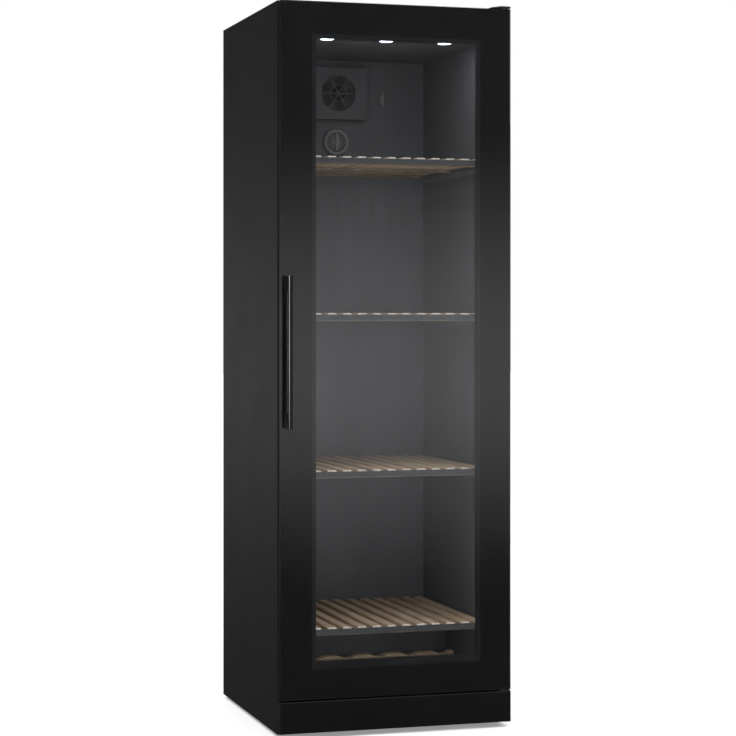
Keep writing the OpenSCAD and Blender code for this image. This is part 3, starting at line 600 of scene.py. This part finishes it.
# Millimetres; these pieces keep their CAD node's shape and get rounded edges
BEVELS = {
    "top_panel": 0.5, "rear_panel": 0.3, "machine_hood": 0.3, "base_pan": 0.3,
    "front_frame": 0.8, "inner_liner": 0.3, "rear_grille": 0.3, "hinge_brackets": 0.4,
    "hinge_cover": 0.9, "hinge_pins": 0.5, "hinge_screws": 0.3, "shelf_rails": 1.2, "shelf_trims": 0.7,
    "bottle_cradle": 1.5, "light_bar": 0.9, "control_panel": 0.9, "display_lens": 0.3,
    "button_up": 0.8, "button_down": 0.8, "button_light": 0.8, "fan_housing": 0.5,
    "fan_motor": 0.6, "air_sensor": 0.8, "compressor": 1.0, "compressor_grommets": 1.2,
    "drip_tray": 0.8, "power_box": 1.2, "power_inlet": 0.4,
    "roller_brackets": 0.5, "outer_glass": 0.6, "door_frame": 0.35, "spacer_bar": 0.3,
    "inner_glass": 0.4, "handle_bar": 0.7, "handle_posts": 0.8, "handle_screws": 0.3, "door_bushes": 0.4,
}
OTHER_FINISH = {"hinge_brackets": BLACK_ZINC, "spacer_bar": SPACER_GREY}
for node, bevel in BEVELS.items():
    make_piece(f"{node}_body", node_shape(node), node, bevel * MM, material=OTHER_FINISH.get(node))


# ---- Shelves ----

def slatted_shelf(number):
    """Rounded slats from front to back, each a little warped, on three cross battens."""
    node = f"shelf_slats_{number}"
    low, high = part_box(node)
    batten_high = high.z - SLAT_T
    lower_edge = 1 * MM
    upper_edge = 2.2 * MM
    warp = 0.15 * MM
    bm = bmesh.new()
    for i in range(SLAT_COUNT):
        x = (i - (SLAT_COUNT - 1) / 2) * SLAT_PITCH
        lift = warp * math.sin(2.4 * i + number)
        outline = [
            (x - SLAT_W / 2, batten_high), (x + SLAT_W / 2, batten_high),
            (x + SLAT_W / 2, high.z - warp + lift), (x - SLAT_W / 2, high.z - warp - lift),
        ]
        radii = [lower_edge, lower_edge, upper_edge, upper_edge]
        add_prism(bm, filleted(outline, radii), "Y", low.y, high.y)
    make_piece(f"shelf_{number}_slats", bm, node, bevel=0.6 * MM)
    bm = bmesh.new()
    batten_w = 20 * MM
    front_inset = 4 * MM
    back_inset = 6 * MM
    middle = (low.y + high.y) / 2
    for y in (low.y + front_inset, middle - batten_w / 2, high.y - back_inset - batten_w):
        add_box(bm, (low.x, y, low.z), (high.x, y + batten_w, batten_high))
    # The battens take the darker copy of the wood, a painted shade
    make_piece(f"shelf_{number}_battens", bm, node, bevel=1.2 * MM, material=SHADED_WOOD)


for number in range(1, 5):
    slatted_shelf(number)


# ---- Door ----

def bellows_gasket():
    """Magnetic seal: a flat foot, a folded bellows and the magnet's tube against the cabinet."""
    low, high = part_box("door_gasket")
    depth = high.y - low.y
    width = 12 * MM
    # (millimetres inwards, share of the depth) down one side of the seal; the other side mirrors it
    side = [(0.2, 0.0), (0.2, 0.14), (2.0, 0.2), (2.2, 0.3), (0.6, 0.38), (0.6, 0.46), (2.2, 0.54),
            (1.6, 0.62), (0.2, 0.68), (0.0, 0.9), (0.7, 1.0)]
    profile = [(inwards * MM, low.y + share * depth) for inwards, share in side]
    profile += [(width - inwards, y) for inwards, y in reversed(profile)]
    bm = bmesh.new()
    add_frame(bm, profile, (low.x, low.z), (high.x, high.z))
    make_piece("door_gasket_bellows", bm, "door_gasket", bevel=0.25 * MM)


def printed_border():
    """Black print, a hair's breadth behind the glass and in front of the frame."""
    low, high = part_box("border_print")
    gap = 0.06 * MM
    bm = node_shape("border_print")
    for vert in bm.verts:
        vert.co.y = min(max(vert.co.y, low.y + gap), high.y - gap)
    make_piece("border_print_film", bm, "border_print")


bellows_gasket()
printed_border()


# ---- Lights and controls ----

def domed_lens(index):
    """One frosted lens, bulging a little below the light bar."""
    x = index * LAMP_PITCH
    top = lens_high.z
    bottom = lens_low.z
    profile = [
        (0.0, top), (LAMP_R, top), (LAMP_R, bottom + 1.3 * MM), (LAMP_R * 0.93, bottom + 0.8 * MM),
        (LAMP_R * 0.7, bottom + 0.35 * MM), (LAMP_R * 0.4, bottom + 0.1 * MM), (0.0, bottom),
    ]
    bm = bmesh.new()
    add_lathe(bm, profile, (x, LAMP_Y, 0), axis="Z")
    make_piece(f"lamp_lens_{index + 2}", bm, "led_lenses")


for index in (-1, 0, 1):
    domed_lens(index)


# ---- Fan and filter ----

def joint_named(name):
    return next(joint for joint in frame["joints"] if joint["name"] == name)


def twisted_blade(bm, turn, centre, root, tip):
    """A curved blade from the hub out, wide and flat at its tip, narrow and steep at its root."""
    stations = 9
    across = 8
    thickness = 1.3 * MM
    camber_height = 2.6 * MM
    root_chord = 15 * MM
    extra_chord = 9 * MM
    root_pitch = 38
    tip_pitch = 21
    rings = []
    for i in range(stations):
        share = i / (stations - 1)
        radius = root + (tip - root) * share
        chord = root_chord + extra_chord * math.sin(share * math.pi * 0.75)
        pitch = math.radians(root_pitch + (tip_pitch - root_pitch) * share)
        upper = []
        lower = []
        for k in range(across + 1):
            t = k / across - 0.5
            camber = (0.25 - t * t) * camber_height
            # Elliptical across the blade, and never thinner than a fifth of its thickness
            half = thickness / 2 * math.sqrt(max(0.04, 1 - 4 * t * t))
            upper.append((t * chord, camber + half))
            lower.append((t * chord, camber - half))
        ring = []
        for along, rise in upper + lower[::-1]:
            sideways = along * math.cos(pitch) - rise * math.sin(pitch)
            depth = along * math.sin(pitch) + rise * math.cos(pitch)
            angle = turn + sideways / radius
            ring.append((
                centre[0] + radius * math.cos(angle),
                centre[1] + depth,
                centre[2] + radius * math.sin(angle),
            ))
        rings.append(ring)
    rows = skin(bm, rings)
    bm.faces.new(rows[0])
    bm.faces.new(rows[-1])


def bladed_rotor():
    """Fan rotor: a domed hub and five twisted blades."""
    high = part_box("fan_rotor")[1]
    axis = joint_named("fan_spin")["pos_m"]
    blades = 5
    hub_front = axis[1] - 4 * MM
    hub_back = hub_front + 11 * MM
    centre = (axis[0], (hub_front + hub_back) / 2, axis[2])
    hub_r = 14 * MM
    bore_r = 1.9 * MM
    profile = [
        (bore_r, hub_back), (bore_r, hub_front + 0.4 * MM), (3 * MM, hub_front), (9.5 * MM, hub_front),
        (12.4 * MM, hub_front + 0.8 * MM), (hub_r, hub_front + 2.6 * MM), (hub_r, hub_back),
    ]
    bm = bmesh.new()
    add_lathe(bm, profile, (axis[0], 0, axis[2]))
    tip_r = high.x - axis[0]
    for blade in range(blades):
        turn = 2 * math.pi * blade / blades
        twisted_blade(bm, turn, centre, hub_r - 1 * MM, tip_r - 0.5 * MM)
    make_piece("fan_rotor_blades", bm, "fan_rotor")


def fan_guard():
    """Thin rings across the fan's inlet, joined to its three spokes."""
    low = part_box("fan_housing")[0]
    axis = joint_named("fan_spin")["pos_m"]
    wire_r = 0.8 * MM
    first_ring = 28.5 * MM
    ring_pitch = 5 * MM
    middle = low.y + 1 * MM
    bm = bmesh.new()
    for ring in range(4):
        ring_r = first_ring + ring * ring_pitch
        profile = [
            (ring_r + wire_r * math.cos(math.radians(a)), middle + wire_r * math.sin(math.radians(a)))
            for a in range(0, 360, 45)
        ]
        add_lathe(bm, profile, (axis[0], 0, axis[2]), steps=96)
    make_piece("fan_guard_rings", bm, "fan_housing", stands=False)


filter_low, filter_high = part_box("charcoal_filter")
filter_axis = joint_named("filter_twist")["pos_m"]
filter_x = filter_axis[0]
filter_z = filter_axis[2]
FILTER_CENTRE = (filter_x, 0, filter_z)
FILTER_FACE = filter_low.y + 6 * MM
FILTER_HUB_R = 9 * MM
FILTER_RIM_R = 27 * MM


def filter_cartridge():
    """The filter's shell: a rounded rim, a hub, and the ring of ribs between them."""
    face = FILTER_FACE
    back = filter_high.y
    outer_r = filter_high.x - filter_x
    rim = [
        (FILTER_RIM_R, back), (FILTER_RIM_R, face + 1 * MM), (FILTER_RIM_R + 1 * MM, face),
        (outer_r - 1.6 * MM, face), (outer_r - 0.5 * MM, face + 0.5 * MM), (outer_r, face + 1.6 * MM),
        (outer_r, back),
    ]
    bore_r = 3.2 * MM
    bore_end = face + 4 * MM
    near_axis = 0.3 * MM
    hub = [
        (bore_r, back), (bore_r, bore_end), (near_axis, bore_end), (near_axis, face),
        (FILTER_HUB_R - 1 * MM, face), (FILTER_HUB_R, face + 1 * MM), (FILTER_HUB_R, back),
    ]
    bm = bmesh.new()
    add_lathe(bm, rim, FILTER_CENTRE, steps=96)
    add_lathe(bm, hub, FILTER_CENTRE)
    ribs = 24
    rib_half = 0.9 * MM
    rib_start = FILTER_HUB_R - 0.5 * MM
    rib_end = FILTER_RIM_R + 0.5 * MM
    for i in range(ribs):
        angle = 2 * math.pi * i / ribs
        outline = []
        for radius, side in ((rib_start, -1), (rib_end, -1), (rib_end, 1), (rib_start, 1)):
            x = radius * math.cos(angle) - side * rib_half * math.sin(angle)
            z = radius * math.sin(angle) + side * rib_half * math.cos(angle)
            outline.append((filter_x + x, filter_z + z))
        add_prism(bm, outline, "Y", face + 0.8 * MM, face + 3 * MM)
    make_piece("filter_cartridge", bm, "charcoal_filter", bevel=0.25 * MM)


def filter_grip():
    """The upright bar, pointed at both ends, by which the filter is turned."""
    half_w = 3 * MM
    shoulder = 22 * MM
    end = 24 * MM
    outline = [(filter_x + x, filter_z + z) for x, z in (
        (-half_w, -shoulder), (0, -end), (half_w, -shoulder),
        (half_w, shoulder), (0, end), (-half_w, shoulder),
    )]
    bm = bmesh.new()
    rounded = filleted(outline, [1 * MM] * len(outline))
    add_prism(bm, rounded, "Y", filter_low.y, FILTER_FACE + 1 * MM)
    make_piece("filter_grip", bm, "charcoal_filter", bevel=0.8 * MM)


def filter_charcoal():
    """The ring of charcoal that shows between the ribs."""
    inner_r = FILTER_HUB_R - 0.5 * MM
    outer_r = FILTER_RIM_R + 0.4 * MM
    face = FILTER_FACE + 2.2 * MM
    back = filter_high.y - 0.5 * MM
    bm = bmesh.new()
    add_lathe(bm, [(inner_r, back), (inner_r, face), (outer_r, face), (outer_r, back)], FILTER_CENTRE)
    make_piece("filter_charcoal", bm, "charcoal_filter", material=CHARCOAL)


bladed_rotor()
fan_guard()
filter_cartridge()
filter_grip()
filter_charcoal()


# ---- Feet and rollers ----

COLLAR_Z = 8 * MM


def foot_pad(node):
    """The foot's round pad, which narrows to a collar round the stem."""
    low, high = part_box(node)
    pad_r = (high.x - low.x) / 2
    near_axis = 0.1 * MM
    profile = [
        (near_axis, 0), (pad_r - 3 * MM, 0), (pad_r - 1 * MM, 0.6 * MM), (pad_r, 2 * MM), (pad_r, 4.4 * MM),
        (pad_r - 1.5 * MM, 5.6 * MM), (11 * MM, 6.2 * MM), (9 * MM, COLLAR_Z), (near_axis, COLLAR_Z),
    ]
    bm = bmesh.new()
    add_lathe(bm, profile, ((low.x + high.x) / 2, (low.y + high.y) / 2, 0), axis="Z", steps=72)
    make_piece(f"{node}_pad", bm, node, bevel=0.3 * MM)


def foot_stem(node):
    """The foot's steel stem, with a thread that climbs round it."""
    low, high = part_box(node)
    x = (low.x + high.x) / 2
    y = (low.y + high.y) / 2
    steps = 24
    rows_per_turn = 6
    pitch = 1.5 * MM
    crest_r = 4.9 * MM
    thread_depth = 0.85 * MM
    start = COLLAR_Z - 0.5 * MM
    rows = int((high.z - COLLAR_Z) / pitch * rows_per_turn)
    rings = []
    for row in range(rows + 1):
        z = start + (high.z - start) * row / rows
        ring = []
        for i in range(steps):
            phase = (z / pitch - i / steps) % 1
            radius = crest_r - thread_depth * abs(2 * phase - 1)
            angle = 2 * math.pi * i / steps
            ring.append((x + radius * math.cos(angle), y + radius * math.sin(angle), z))
        rings.append(ring)
    bm = bmesh.new()
    ends = skin(bm, rings)
    bm.faces.new(ends[0])
    bm.faces.new(ends[-1])
    make_piece(f"{node}_stem", bm, node, slot="screw_steel")


def hollow_roller(node):
    """Roller: a crowned tread, webs sunk between rim and hub on both sides, and its bore."""
    low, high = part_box(node)
    centre = (0, (low.y + high.y) / 2, (low.z + high.z) / 2)
    radius = (high.z - low.z) / 2
    bore_r = 4.4 * MM
    hub_r = 8.6 * MM
    rim_inner_r = 14.5 * MM
    web_inset = 5 * MM
    half = [
        (bore_r, 0), (hub_r - 0.6 * MM, 0), (hub_r, 0.6 * MM), (hub_r, web_inset), (rim_inner_r, web_inset),
        (rim_inner_r + 0.6 * MM, 0.8 * MM), (rim_inner_r + 1.3 * MM, 0.3 * MM),
        (radius - 2.2 * MM, 0.3 * MM), (radius, 3 * MM),
    ]
    profile = [(r, low.x + inset) for r, inset in half] + [(r, high.x - inset) for r, inset in half[::-1]]
    bm = bmesh.new()
    add_lathe(bm, profile, centre, axis="X", steps=80)
    make_piece(f"{node}_wheel", bm, node, bevel=0.3 * MM)


for side in ("left", "right"):
    foot_pad(f"foot_{side}")
    foot_stem(f"foot_{side}")
    hollow_roller(f"roller_{side}")


# ---- Display and button marks ----

SEGMENTS = {"1": "bc", "2": "abged"}
DIGIT_W = 9 * MM
DIGIT_H = 15 * MM
DIGIT_PROUD = 0.08 * MM
DIGIT_SUNK = 0.3 * MM


def seven_segment_digit(bm, digit, left, low, front):
    """The lit bars of one digit, as flat hexagons."""
    half = 0.75 * MM
    gap = 1.3 * half
    middle = DIGIT_H / 2
    bars = {
        "a": ((0, DIGIT_H), (DIGIT_W, DIGIT_H)), "b": ((DIGIT_W, DIGIT_H), (DIGIT_W, middle)),
        "c": ((DIGIT_W, middle), (DIGIT_W, 0)), "d": ((0, 0), (DIGIT_W, 0)), "e": ((0, 0), (0, middle)),
        "f": ((0, middle), (0, DIGIT_H)), "g": ((0, middle), (DIGIT_W, middle)),
    }
    for key in SEGMENTS[digit]:
        start, end = (Vector(point) + Vector((left, low)) for point in bars[key])
        run = (end - start).normalized()
        over = Vector((-run.y, run.x)) * half
        first = start + run * gap
        last = end - run * gap
        outline = [
            first - run * half, first + over, last + over,
            last + run * half, last - over, first - over,
        ]
        add_prism(bm, [tuple(point) for point in outline], "Y", front - DIGIT_PROUD, front + DIGIT_SUNK)


def lit_display():
    """A two-digit temperature and a degree ring on the display window."""
    low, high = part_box("display_lens")
    bottom = (low.z + high.z) / 2 - DIGIT_H / 2
    first_digit = low.x + 38 * MM
    digit_pitch = 15 * MM
    front = low.y - DIGIT_PROUD
    back = low.y + DIGIT_SUNK
    bm = bmesh.new()
    for place, digit in enumerate("12"):
        seven_segment_digit(bm, digit, first_digit + place * digit_pitch, bottom, low.y)
    ring = [(1.1 * MM, back), (1.1 * MM, front), (1.9 * MM, front), (1.9 * MM, back)]
    add_lathe(bm, ring, (first_digit + 2 * digit_pitch, 0, bottom + 13.5 * MM))
    make_piece("display_digits", bm, "display_lens", stands=False, material=DIGIT_LIGHT)


def button_mark(node, points):
    """A raised mark on a button's face; its points are in millimetres from the middle."""
    low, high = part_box(node)
    x = (low.x + high.x) / 2
    z = (low.z + high.z) / 2
    proud = 0.1 * MM
    sunk = 0.2 * MM
    outline = [(x + dx * MM, z + dz * MM) for dx, dz in points]
    bm = bmesh.new()
    add_prism(bm, outline, "Y", low.y - proud, low.y + sunk)
    make_piece(f"{node}_mark", bm, node, stands=False, material=MARK_PAINT)


lit_display()
button_mark("button_up", [(-2.2, -1.3), (2.2, -1.3), (0, 2.1)])
button_mark("button_down", [(-2.2, 1.3), (0, -2.1), (2.2, 1.3)])
button_mark("button_light", [
    (2 * math.cos(math.radians(a)), 2 * math.sin(math.radians(a))) for a in range(0, 360, 20)
])


# ---- Every CAD node gets its slot's material ----

for node, obj in frame["nodes"].items():
    obj.data.materials.clear()
    obj.data.materials.append(MATERIALS[SLOT_OF[node]])


# ---- Studio ----

def make_floor():
    """A pale floor that takes soft shadows. Mirrored rays pass through it to the world's own light."""
    half_size = 30
    thickness = 0.02
    bm = bmesh.new()
    add_box(bm, (-half_size, -half_size, -thickness), (half_size, half_size, 0))
    mesh = bpy.data.meshes.new("floor")
    bm.to_mesh(mesh)
    bm.free()
    n = Surface("floor")
    mottle = n.noise(0.8, 3)
    n.shader.inputs["Emission Color"].default_value = (1, 1, 1, 1)
    n.finish(n.ramp(mottle, [(0.3, grey(0.79)), (0.7, grey(0.81))]), n.span(mottle, 0.7, 0.8), glow=0.25)
    mirrored = n.math("GREATER_THAN", n.add("ShaderNodeLightPath").outputs["Glossy Depth"], 0.5)
    n.cover(mirrored, n.add("ShaderNodeBsdfTransparent").outputs[0])
    mesh.materials.append(n.material)
    floor = bpy.data.objects.new("floor", mesh)
    bpy.context.scene.collection.objects.link(floor)


def make_world():
    """A white room whose mirror image is dark, with a soft band of light at the horizon and a lit ceiling.

    The heights are the sine of the elevation: 0 is level, 1 is straight up. The band is strongest in
    front of the door.
    """
    world = bpy.data.worlds.new("studio")
    bpy.context.scene.world = world
    world.use_nodes = True
    world.cycles.sampling_method = "NONE"
    n = Nodes(world.node_tree, "Generated")
    height = n.axis("Z")
    rise = n.span(height, 0, 1, -0.135, -0.03, smooth=True)
    fall = n.span(height, 1, 0.06, -0.02, 0.095, smooth=True)
    band = n.math("MULTIPLY", rise, fall)
    strength = n.span(n.axis("Y"), 0.72, 0.195, -0.9, 0.5, smooth=True)
    roof = n.span(height, 0, 0.7, 0.35, 0.8, smooth=True)
    light = n.math("MULTIPLY_ADD", band, strength, roof)
    mirrored = n.math("GREATER_THAN", n.add("ShaderNodeLightPath").outputs["Glossy Depth"], 0.5)
    level = n.add("ShaderNodeMix", {0: mirrored, 2: 1.0, 3: n.math("ADD", light, 0.04)}).outputs[0]
    n.tree.links.new(level, n.tree.nodes["Background"].inputs["Color"])


def add_sun(name, energy, angle, azimuth, elevation):
    """A soft, even lamp from one direction; mirrors don't show it."""
    data = bpy.data.lights.new(name, "SUN")
    data.energy = energy
    data.angle = math.radians(angle)
    lamp = bpy.data.objects.new(name, data)
    a = math.radians(azimuth)
    e = math.radians(elevation)
    towards = Vector((math.sin(a) * math.cos(e), -math.cos(a) * math.cos(e), math.sin(e)))
    lamp.rotation_euler = towards.to_track_quat("Z", "Y").to_euler()
    lamp.visible_glossy = False
    bpy.context.scene.collection.objects.link(lamp)


def add_panel(name, energy, size, place, facing):
    """A rectangular lamp that faces along a direction and isn't seen itself."""
    data = bpy.data.lights.new(name, "AREA")
    data.shape = "RECTANGLE"
    data.size, data.size_y = size
    data.energy = energy
    lamp = bpy.data.objects.new(name, data)
    lamp.location = place
    lamp.rotation_euler = Vector(facing).to_track_quat("-Z", "Y").to_euler()
    lamp.visible_camera = False
    lamp.visible_glossy = False
    lamp.visible_transmission = False
    bpy.context.scene.collection.objects.link(lamp)
    return lamp


def light_the_room():
    """The three lamps of the light bar, and a soft fill just behind the door."""
    lamp_size = (0.03, 0.03)
    fill_size = (0.5, 1.56)
    for index in (-1, 0, 1):
        place = (index * LAMP_PITCH, LAMP_Y, lens_low.z - 2 * MM)
        add_panel(f"lamp_{index + 2}", 0.5, lamp_size, place, (0, 0.1, -1))
    low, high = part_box("inner_liner")
    behind_door = low.y - 12 * MM
    add_panel("room_fill", 6.4, fill_size, (0, behind_door, (low.z + high.z) / 2), (0, 1, 0))


def light_the_handle():
    """A tall, narrow lamp at the left that lights the handle only, as a bright line along its bar."""
    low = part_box("handle_bar")[0]
    power = 24.5
    width = 0.4
    distance = 2.5
    towards = Vector((-0.957, -0.287, 0))
    lowest = 0.66
    highest = 1.9
    middle = Vector((low.x, low.y, (lowest + highest) / 2))
    place = middle + towards * distance
    lamp = add_panel("handle_strip", power, (width, highest - lowest), place, -towards)
    lamp.visible_glossy = True
    lamp.visible_diffuse = False
    lit = bpy.data.collections.new("lit_by_handle_strip")
    for name in ("handle_bar_body", "handle_posts_body"):
        lit.objects.link(bpy.data.objects[name])
    lamp.light_linking.receiver_collection = lit


make_floor()
make_world()
add_sun("key", 1.3, 35, -35, 55)
add_sun("fill", 0.5, 60, 50, 40)
add_sun("rear", 1.2, 60, 160, 35)
light_the_room()
light_the_handle()

bpy.context.scene.view_settings.view_transform = "Standard"
